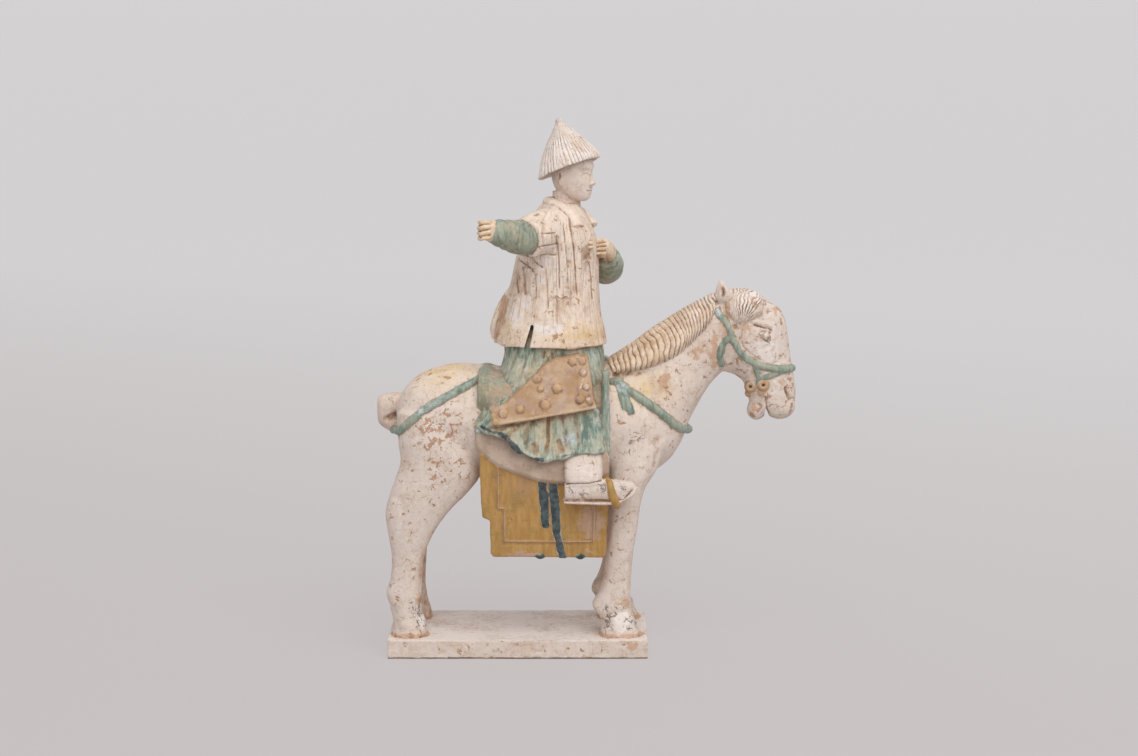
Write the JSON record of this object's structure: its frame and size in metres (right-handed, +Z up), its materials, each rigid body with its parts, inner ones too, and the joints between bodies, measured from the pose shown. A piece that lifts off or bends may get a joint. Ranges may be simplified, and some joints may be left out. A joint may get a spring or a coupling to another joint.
{
  "type": "pottery horse and rider figure",
  "caption": "Pottery figure of a rider in a conical hat, right arm held out, seated on a standing saddled horse with hanging side panels, on a low rectangular plinth",
  "frame": {"origin": "centre of the plinth's flat underside", "axes": "+X the way the horse faces, +Y the horse's left side, +Z up"},
  "size_m": [0.3392, 0.1475, 0.4286],
  "materials": {
    "slip_pottery": "matt chalky slip over low-fired clay, with glossier green and amber lead glaze on the harness, skirt and side panels"
  },
  "bodies": {
    "root": {"horse_and_rider": "slip_pottery"}
  },
  "joints": []
}
